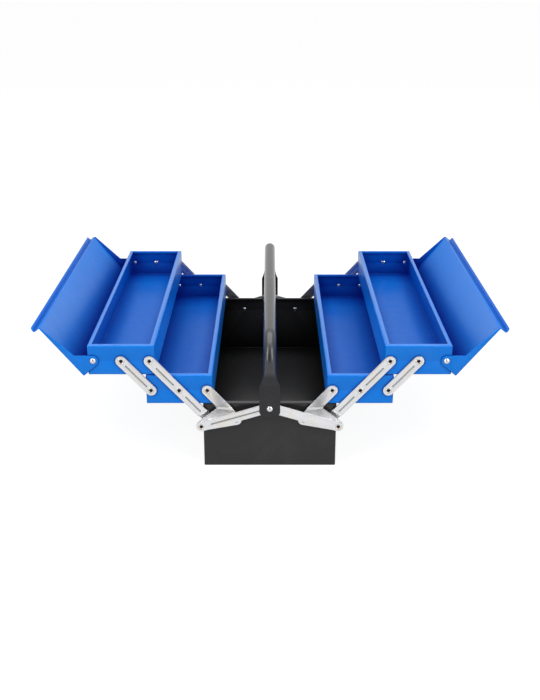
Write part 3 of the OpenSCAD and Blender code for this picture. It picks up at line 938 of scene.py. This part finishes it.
def rivet_tree(kind: RivetKind) -> bpy.types.NodeTree:
    """Tree that turns a profile round its axis and sets a copy at each point.

    Args:
        kind: Shape of the rivet.

    Returns:
        A tree with inputs Grip, Scatter, Round and Seed.
    """
    made = bpy.data.node_groups.get(kind.value)
    if made:
        return made
    profile = profile_of(kind)
    g = group_tree(kind.value, "GeometryNodeTree",
                   [("Geometry", "NodeSocketGeometry", None), ("Grip", "NodeSocketFloat", 3.0),
                    ("Scatter", "NodeSocketFloat", 0.012), ("Round", "NodeSocketInt", 29),
                    ("Seed", "NodeSocketInt", RIVET_SEED)],
                   [("Geometry", "NodeSocketGeometry")])
    start, end = g.add("NodeGroupInput"), g.add("NodeGroupOutput")
    grid = g.add("GeometryNodeMeshGrid", {"Size X": 1.0, "Size Y": 1.0,
                                          "Vertices X": len(profile),
                                          "Vertices Y": start.outputs["Round"]})
    place = g.add("ShaderNodeSeparateXYZ", {0: g.add("GeometryNodeInputPosition").outputs[0]})
    u = g.plus(place.outputs[0], 0.5)
    hollow = kind in (RivetKind.TUBULAR, RivetKind.COUNTERSUNK)
    deep = g.plus(*(g.math("GREATER_THAN", u,
                           1.0 - (steps if hollow else 0) / (len(profile) - 1))
                    for steps in (THROAT_STEPS, FLOOR_STEPS)))
    bored = g.add("GeometryNodeStoreNamedAttribute",
                  {"Geometry": grid.outputs["Mesh"], "Name": "bore", "Value": deep},
                  data_type="FLOAT", domain="FACE")
    angle = g.times(g.plus(place.outputs[1], 0.5), 2 * math.pi)
    low, high = min(p[1] for p in profile), max(p[1] for p in profile)
    wide = max(p[0] for p in profile)
    radius = g.times(curve_node(g, u, [p[0] / wide for p in profile]), wide * MM)
    height = g.spread(curve_node(g, u, [(p[1] - low) / (high - low) for p in profile]),
                      low, high)
    grip = g.times(curve_node(g, u, [p[2] for p in profile]), start.outputs["Grip"])
    spun = g.add("ShaderNodeCombineXYZ", {0: g.times(radius, g.math("COSINE", angle)),
                                          1: g.times(radius, g.math("SINE", angle)),
                                          2: g.times(g.plus(height, grip), MM)})
    turned = g.add("GeometryNodeSetPosition", {"Geometry": bored.outputs[0],
                                               "Position": spun.outputs[0]})
    closed = g.add("GeometryNodeMergeByDistance", {"Geometry": turned.outputs[0],
                                                   "Distance": RIVET_WELD})
    facing = g.add("GeometryNodeInputNamedAttribute", {"Name": "facing"}, data_type="FLOAT")
    tilt = g.times(facing.outputs["Attribute"], -math.pi / 2)
    loose = g.add("FunctionNodeRandomValue", {"Seed": start.outputs["Seed"]},
                  data_type="FLOAT")
    swing = g.times(g.minus(loose.outputs[1], 0.5), start.outputs["Scatter"])
    aim = g.add("ShaderNodeCombineXYZ", {0: g.plus(tilt, swing), 2: swing})
    copies = g.add("GeometryNodeInstanceOnPoints", {"Points": start.outputs["Geometry"],
                                                    "Instance": closed.outputs[0],
                                                    "Rotation": aim.outputs[0]})
    real = g.add("GeometryNodeRealizeInstances", {0: copies.outputs[0]})
    dressed = g.add("GeometryNodeSetMaterial", {"Geometry": real.outputs[0],
                                                "Material": BRIGHT_RIVET.material()})
    inside = g.add("GeometryNodeInputNamedAttribute", {"Name": "bore"}, data_type="FLOAT")
    # The throat takes the warm tint painted as a highlight, and the bore the near-black painted
    # shade.
    for level, inner in ((0.5, THROAT_PAINTED_HIGHLIGHT), (1.5, BORE_PAINTED_SHADE)):
        dressed = g.add("GeometryNodeSetMaterial",
                        {"Geometry": dressed.outputs[0], "Material": inner.material(),
                         "Selection": g.math("GREATER_THAN", inside.outputs["Attribute"],
                                             level)})
    g.join(dressed.outputs[0], end.inputs[0])
    return g.tree


@dataclass
class RivetRow:
    """Rivets of one kind on one body, at both ends of the box.

    Attributes:
        name: Name of the piece.
        body: Body that they ride on.
        pivots: Their pivots, as (x, z) in millimetres with the side's sign.
        head: Distance of the inner head from the base's end wall, outward.
        grip: Distance from the inner head to the outer one.
        kind: Their shape.
        stands_for: CAD nodes that they replace.
    """

    name: str
    body: str
    pivots: list[Point]
    head: float
    grip: float
    kind: RivetKind = RivetKind.TUBULAR
    stands_for: tuple[str, ...] = ()

    def build(self) -> None:
        """Builds the row, riding on its body."""
        seed = bpy.data.meshes.new(self.name)
        spots, facing = [], []
        for end in End:
            for x, z in self.pivots:
                out = SIZES.half_length + self.head
                spots.append((x * MM, end.value * out * MM, z * MM))
                facing.append(float(end.value))
        seed.from_pydata(spots, [], [])
        seed.attributes.new("facing", "FLOAT", "POINT").data.foreach_set("value", facing)
        piece = grown(seed, self.name, rivet_tree(self.kind), Grip=self.grip)
        settle(piece, self.body, self.stands_for)


def mirrored(points: Iterable[Point], side: Side) -> list[Point]:
    """Points of the right side, moved to a side."""
    return [(side.value * x, z) for x, z in points]


# ---- sub-assemblies ----

# Width in millimetres of the rounding on the edges of sheet parts, plates, washers and pins,
# and depth of the polish on a rim.
SHEET_EDGE, PLATE_EDGE, WASHER_EDGE, TAIL_EDGE, RIM_POLISH = 0.25, 0.22, 0.1, 0.15, 1.5


@dataclass
class Base:
    """The base box, its rivets and the spacers under the cranks.

    Attributes:
        finish: Paint of the box.
        head: Distance of the rivets' inner heads from the end walls, outward.
        low_grip: Grip of the long levers' rivets.
        high_grip: Grip of the cranks' rivets.
    """

    finish: PowderCoat = ANTHRACITE
    head: float = -1.0
    low_grip: float = 3.35
    high_grip: float = 10.45

    def build(self) -> None:
        """Builds the box and what is fixed to it."""
        box = soft_copy("base_box", "base_sheet_box", self.finish, SHEET_EDGE, rim=RIM_POLISH)
        settle(box, "root", ["base_box"])
        for kind, foot, grip in (("lever", SIZES.lever_foot, self.low_grip),
                                 ("crank", SIZES.crank_foot, self.high_grip)):
            pivots = [(side.value * foot[0], foot[1]) for side in Side]
            RivetRow(f"base_{kind}_rivets", "root", pivots, self.head, grip,
                     stands_for=("base_rivets",)).build()
        spacers = soft_copy("crank_spacers", "crank_spacer_rings", SPACER_ZINC, SHEET_EDGE)
        settle(spacers, "root", ["crank_spacers"])


@dataclass
class Wing:
    """One side that folds out: two trays, a lid and the levers between them.

    Attributes:
        side: Which side.
        paint: Paint of the trays and the lid.
        lever_angle: Angle of the levers above the level, box open.
        link_angle: The same for the links.
        head: Distance of the trays' rivet heads from the base's end walls, outward.
        lever_grip: Grip of the trays' lever rivets.
        hinge_grip: Grip of the lid's hinge rivets.
        foot_head: Distance of the link rivets' inner heads from those walls, outward.
        foot_grip: Grip of the link rivets.
        lid_corner: Radius of the corners of the lid's strip.
    """

    side: Side
    paint: PowderCoat = BLUE
    lever_angle: float = 47.64
    link_angle: float = 163.0
    head: float = 3.0
    lever_grip: float = 3.35
    hinge_grip: float = 2.35
    foot_head: float = 7.4
    foot_grip: float = 4.95
    lid_corner: float = 5.0

    def zinc(self, name: str, angle: float) -> ZincPlate:
        """Zinc whose rolling lines follow an angle above the level, on this side."""
        return ZincPlate(f"zinc_{name}_{self.side.word}", turn=self.side.value * angle)

    def trays(self) -> None:
        """Builds the two trays with their rivets."""
        word = self.side.word
        for level, pivots in (("lower", SIZES.lower_pivots), ("upper", SIZES.upper_pivots)):
            node = f"{level}_tray_{word}"
            body = f"{word}_{level}_tray"
            tray = soft_copy(node, f"{level}_sheet_tray_{word}", self.paint, SHEET_EDGE,
                             rim=RIM_POLISH)
            settle(tray, body, [node])
            RivetRow(f"{level}_tray_rivets_{word}", body, mirrored(pivots, self.side), self.head,
                     self.lever_grip, stands_for=(f"{level}_rivets_{word}",)).build()

    def lid(self) -> None:
        """Builds the lid with its hinge rivets."""
        word = self.side.word
        lid = soft_copy(f"lid_{word}", f"hinged_lid_{word}", self.paint, SHEET_EDGE,
                        corner=self.lid_corner)
        settle(lid, f"{word}_lid", [f"lid_{word}"])
        RivetRow(f"hinge_rivets_{word}", f"{word}_upper_tray",
                 mirrored([SIZES.lid_pivot], self.side), self.head, self.hinge_grip,
                 RivetKind.DOMED, (f"lid_rivets_{word}",)).build()

    def levers(self) -> None:
        """Builds the long and short levers, the cranks and the links."""
        word = self.side.word
        lean = self.zinc("lever", self.lever_angle)
        flat = self.zinc("link", self.link_angle)
        for end in End:
            for kind, finish in (("long_lever", lean), ("short_lever", lean), ("crank", lean),
                                 ("link", flat)):
                node = f"{kind}_{word}_{end.word}"
                piece = soft_copy(node, f"{kind}_plate_{word}_{end.word}", finish, PLATE_EDGE)
                settle(piece, f"{word}_{kind}s", [node])
        RivetRow(f"link_foot_rivets_{word}", f"{word}_cranks",
                 mirrored([SIZES.link_pivot], self.side), self.foot_head, self.foot_grip,
                 RivetKind.COUNTERSUNK, (f"link_rivets_{word}",)).build()
        washers = soft_copy(f"link_washers_{word}", f"link_foot_washers_{word}", SPACER_ZINC,
                            WASHER_EDGE)
        settle(washers, f"{word}_links", [f"link_washers_{word}"])
        if self.side is Side.LEFT:
            tails = soft_copy("link_tails", "link_pin_tails", BRIGHT_RIVET, TAIL_EDGE)
            settle(tails, "left_links", ["link_tails"])

    def build(self) -> None:
        """Builds the whole side."""
        self.trays()
        self.lid()
        self.levers()


# Steps of the handle's path: round the corner of a flattened end, along a neck, round a bend
# and along half the run.
CORNER_STEPS, NECK_STEPS, BEND_STEPS, RUN_STEPS = 10, 18, 24, 6
# Single stations, in millimetres: above a corner, below the crease and below the bend.
PAST_CORNER, BEFORE_CREASE, BEFORE_BEND = 10.0, 0.4, 0.5
# How square the edges of a flattened end are.
SQUARENESS = 3.0


@dataclass
class Handle:
    """The tube handle, flattened at both ends, with its pins.

    Attributes:
        tube: Outer radius of the tube.
        bend: Radius of the bends on the centre line.
        rise: Height of the centre line above the pins.
        out: Distance of the legs' centre lines from the base's end walls.
        half_tab: Half the width of the flattened ends.
        half_thick: Half the thickness of the flattened ends.
        below: Length of a flattened end below its pin.
        above: Length of a flattened end above its pin.
        neck: Length over which the tube becomes round.
        corner: Corner radius of the flattened ends.
        swell: How fast the neck becomes round above its crease.
        worn_from: Height above a flattened end where the polish of hands starts.
        worn_full: Height above a flattened end where it is full.
        around: Number of points round the tube.
        finish: Paint of the tube.
    """

    tube: float = 9.5
    bend: float = 35.0
    rise: float = 106.0
    out: float = 15.8
    half_tab: float = 15.5
    half_thick: float = 1.3
    below: float = 12.0
    above: float = 37.0
    neck: float = 31.0
    corner: float = 7.0
    swell: float = 2.4
    worn_from: float = 14.0
    worn_full: float = 26.0
    around: int = 64
    finish: PowderCoat = SATIN_BLACK

    @property
    def leg_y(self) -> float:
        """Distance of a leg's centre line from the middle."""
        return SIZES.half_length + self.out

    def path(self) -> list[Vector]:
        """Centre line of the tube.

        Returns:
            Its stations from the front end to the rear end, in metres.
        """
        pin = SIZES.handle_pin[1]
        foot, top, low = pin - self.below, pin + self.rise, pin + self.above
        heights = [foot + self.corner * (1 - math.cos(i * math.pi / (2 * CORNER_STEPS)))
                   for i in range(CORNER_STEPS + 1)]
        heights += [foot + self.corner + PAST_CORNER, low - BEFORE_CREASE]
        heights += [low + self.neck * i / NECK_STEPS for i in range(NECK_STEPS + 1)]
        heights.append(top - self.bend - BEFORE_BEND)
        leg = [(-self.leg_y, z) for z in heights]
        bend = [(-self.leg_y + self.bend * (1 - math.cos(a)),
                 top - self.bend + self.bend * math.sin(a))
                for a in (i * math.pi / (2 * BEND_STEPS) for i in range(BEND_STEPS + 1))]
        run = [(-self.leg_y + self.bend + (self.leg_y - self.bend) * i / RUN_STEPS, top)
               for i in range(1, RUN_STEPS + 1)]
        half = leg + bend + run
        whole = half + [(-y, z) for y, z in reversed(half[:-1])]
        return [Vector((0.0, y * MM, z * MM)) for y, z in whole]

    def tree(self) -> bpy.types.NodeTree:
        """Tree that sweeps the tube along its path and presses its ends flat.

        Returns:
            A tree with inputs Tube Radius, Tab Half Width, Tab Half Thickness and Around.
        """
        g = group_tree("pressed_tube", "GeometryNodeTree",
                       [("Geometry", "NodeSocketGeometry", None),
                        ("Tube Radius", "NodeSocketFloat", self.tube),
                        ("Tab Half Width", "NodeSocketFloat", self.half_tab),
                        ("Tab Half Thickness", "NodeSocketFloat", self.half_thick),
                        ("Around", "NodeSocketInt", self.around)],
                       [("Geometry", "NodeSocketGeometry")])
        start, end = g.add("NodeGroupInput"), g.add("NodeGroupOutput")
        line = g.add("GeometryNodeMeshToCurve", {0: start.outputs["Geometry"]})
        radius = g.times(start.outputs["Tube Radius"], MM)
        ring = g.add("GeometryNodeCurvePrimitiveCircle",
                     {"Resolution": start.outputs["Around"], "Radius": radius})
        swept = g.add("GeometryNodeCurveToMesh", {"Curve": line.outputs[0],
                                                  "Profile Curve": ring.outputs[0],
                                                  "Fill Caps": True})
        at = g.add("ShaderNodeSeparateXYZ", {0: g.add("GeometryNodeInputPosition").outputs[0]})
        x, y, z = at.outputs
        pin = SIZES.handle_pin[1]
        tab_top = pin + self.above
        worn = g.ramp(z, (tab_top + self.worn_from) * MM, (tab_top + self.worn_full) * MM,
                      interpolation_type="SMOOTHSTEP")
        marked = g.add("GeometryNodeStoreNamedAttribute",
                       {"Geometry": swept.outputs[0], "Name": "handled", "Value": worn},
                       data_type="FLOAT", domain="POINT")
        # 0 in the flattened end, 1 in the round tube; it starts with a crease.
        part = g.ramp(z, tab_top * MM, (tab_top + self.neck) * MM)
        roundness = g.minus(1.0, g.math("POWER", g.minus(1.0, part), self.swell))
        # 0 above the corners of the flattened end, 1 at its foot.
        over = g.math("MAXIMUM", g.minus((pin - self.below + self.corner) * MM, z), 0.0)
        over = g.math("MINIMUM", g.math("DIVIDE", over, self.corner * MM), 1.0)
        chord = g.math("MAXIMUM", g.minus(1.0, g.math("POWER", over, 2.0)), 0.0)
        cut = g.times(g.minus(1.0, g.math("SQRT", chord)), self.corner)
        wide = g.math("DIVIDE", g.minus(start.outputs["Tab Half Width"], cut),
                      start.outputs["Tube Radius"])
        centre = g.times(g.math("SIGN", y), self.leg_y * MM)
        off = g.minus(y, centre)
        held = g.math("MINIMUM", g.times(g.math("DIVIDE", off, radius), SQUARENESS), 1.0)
        held = g.math("MAXIMUM", held, -1.0)
        y_flat = g.times(held, g.times(start.outputs["Tab Half Thickness"], MM))
        on_leg = g.math("LESS_THAN", z, (tab_top + self.neck) * MM)
        x_leg = g.between(g.times(x, wide), x, roundness)
        y_leg = g.plus(centre, g.between(y_flat, off, roundness))
        placed_at = g.add("ShaderNodeCombineXYZ", {0: g.between(x, x_leg, on_leg),
                                                   1: g.between(y, y_leg, on_leg), 2: z})
        pressed = g.add("GeometryNodeSetPosition", {"Geometry": marked.outputs[0],
                                                    "Position": placed_at.outputs[0]})
        real = g.add("GeometryNodeRealizeInstances", {0: pressed.outputs[0]})
        dressed = g.add("GeometryNodeSetMaterial", {"Geometry": real.outputs[0],
                                                    "Material": self.finish.material()})
        g.join(dressed.outputs[0], end.inputs[0])
        return g.tree

    def build(self) -> None:
        """Builds the tube and its two pins."""
        points = self.path()
        seed = bpy.data.meshes.new("handle_path")
        seed.from_pydata(points, [(i, i + 1) for i in range(len(points) - 1)], [])
        settle(grown(seed, "tube_handle", self.tree()), "handle", ["handle"])
        inner = self.out - self.half_thick
        RivetRow("handle_pin_heads", "handle", [SIZES.handle_pin], inner, 2 * self.half_thick,
                 RivetKind.PIN, ("handle_pins",)).build()


# ---- studio ----


@dataclass
class Softbox:
    """A rectangular area lamp.

    Attributes:
        name: Name of the lamp.
        place: Where it stands.
        target: What it points at.
        size: Its width and height.
        power: Its power in watts.
    """

    name: str
    place: Place
    target: Place
    size: Point
    power: float

    def build(self) -> None:
        """Adds the lamp to the scene."""
        lamp = bpy.data.lights.new(self.name, "AREA")
        lamp.shape = "RECTANGLE"
        lamp.size, lamp.size_y = self.size
        lamp.energy = self.power
        thing = placed(self.name, lamp)
        thing.location = self.place
        aim = Vector(self.target) - Vector(self.place)
        thing.rotation_euler = aim.to_track_quat("-Z", "Y").to_euler()


@dataclass
class Studio:
    """Camera, lamps, world and floor.

    Attributes:
        camera_at: Place of the camera.
        pitch: How far the camera looks down, in degrees.
        lens: Focal length for a 36 mm long side.
        ambient: World strength on the object.
        backdrop: How much dimmer the backdrop is in reflections than what is overhead.
        room: The same for the room behind the camera.
        room_span: Y of a direction where the backdrop ends and where the room is reached.
        above_span: Z of a direction where the overhead ends and where the backdrop is reached.
        floor_share: Diffuse colour of the floor.
        floor_glow: Glow of the floor to the camera.
        floor_mirrored: Glow of the floor in reflections.
        floor_reach: Half the width of the floor.
        lamps: The softboxes.
    """

    camera_at: Place = (0.0003, -1.6723, 0.7408)
    pitch: float = 21.19
    lens: float = 53.55
    ambient: float = 0.34
    backdrop: float = 0.4
    room: float = 0.8
    room_span: Point = (-0.2, -0.75)
    above_span: Point = (0.85, 0.5)
    floor_share: float = 0.25
    floor_glow: float = 0.9
    floor_mirrored: float = 0.65
    floor_reach: float = 14.0
    lamps: list[Softbox] = field(default_factory=lambda: [
        Softbox("top_softbox", (0.0, 0.0, 2.2), (0.0, 0.0, 0.1), (2.6, 2.2), 28.5),
        Softbox("left_softbox", (-1.7, -1.9, 1.15), (0.0, 0.0, 0.12), (0.7, 2.1), 26.5),
        Softbox("right_softbox", (1.7, -1.9, 1.15), (0.0, 0.0, 0.12), (1.3, 2.1), 28.0)])

    def camera(self) -> None:
        """Sets the camera at the picture's viewing angle."""
        lens = bpy.data.cameras.new("camera")
        lens.lens = self.lens
        lens.sensor_width = 36.0
        thing = placed("camera", lens)
        thing.location = self.camera_at
        thing.rotation_euler = (math.radians(90 - self.pitch), 0.0, 0.0)
        bpy.context.scene.camera = thing

    def mirrored_rays(self, g: Graph) -> Socket:
        """Tells the rays that gloss and clear things show.

        Args:
            g: Graph that reads the rays.

        Returns:
            A socket that gives 1 for such rays, else 0.
        """
        path = g.add("ShaderNodeLightPath")
        return g.math("MAXIMUM", path.outputs["Is Glossy Ray"],
                      path.outputs["Is Transmission Ray"])

    def camera_rays(self, g: Graph) -> Socket:
        """1 for rays from the camera, else 0."""
        return g.add("ShaderNodeLightPath").outputs["Is Camera Ray"]

    def seen(self, g: Graph) -> Socket:
        """1 for rays from the camera and for those that gloss and clear things show, else 0."""
        return g.math("MAXIMUM", self.camera_rays(g), self.mirrored_rays(g))

    def world(self) -> None:
        """Sets a white surround that lights the object at its own, lower level."""
        world = bpy.data.worlds.new("surround")
        g = emptied(world)
        way = g.add("ShaderNodeSeparateXYZ",
                    {0: g.add("ShaderNodeTexCoord").outputs["Generated"]})
        depth = g.spread(g.ramp(way.outputs[1], *self.room_span), self.backdrop, self.room)
        low = g.ramp(way.outputs[2], *self.above_span)
        dim = g.times(g.times(depth, low), self.mirrored_rays(g))
        shown = g.minus(g.minus(1.0, dim), self.ambient)
        level = g.plus(g.times(shown, self.seen(g)), self.ambient)
        back = g.add("ShaderNodeBackground", {"Color": (1.0, 1.0, 1.0, 1.0), "Strength": level})
        g.surface(back, "ShaderNodeOutputWorld")
        bpy.context.scene.world = world

    def floor(self) -> None:
        """Lays a plain pale floor that keeps the object's shadow."""
        material = bpy.data.materials.new("pale_floor")
        g = emptied(material)
        share = self.floor_share
        matt = g.add("ShaderNodeBsdfDiffuse", {"Color": (share, share, share, 1.0)})
        level = g.plus(g.times(self.camera_rays(g), self.floor_glow),
                       g.times(self.mirrored_rays(g), self.floor_mirrored))
        glow = g.add("ShaderNodeEmission", {"Color": (1.0, 1.0, 1.0, 1.0), "Strength": level})
        g.surface(g.add("ShaderNodeAddShader", {0: matt.outputs[0], 1: glow.outputs[0]}))
        mesh = bpy.data.meshes.new("floor")
        r = self.floor_reach
        mesh.from_pydata([(-r, -r, 0), (r, -r, 0), (r, r, 0), (-r, r, 0)], [], [(0, 1, 2, 3)])
        mesh.materials.append(material)
        floor = placed("floor", mesh)

    def build(self) -> None:
        """Sets up the whole studio."""
        bpy.context.scene.view_settings.view_transform = "Standard"
        self.camera()
        self.world()
        self.floor()
        for lamp in self.lamps:
            lamp.build()


def main() -> None:
    """Builds the studio and every sub-assembly, in order."""
    logging.basicConfig(level=logging.INFO, format="%(message)s")
    Studio().build()
    Base().build()
    for side in Side:
        Wing(side).build()
    Handle().build()


if __name__ == "__main__":
    main()
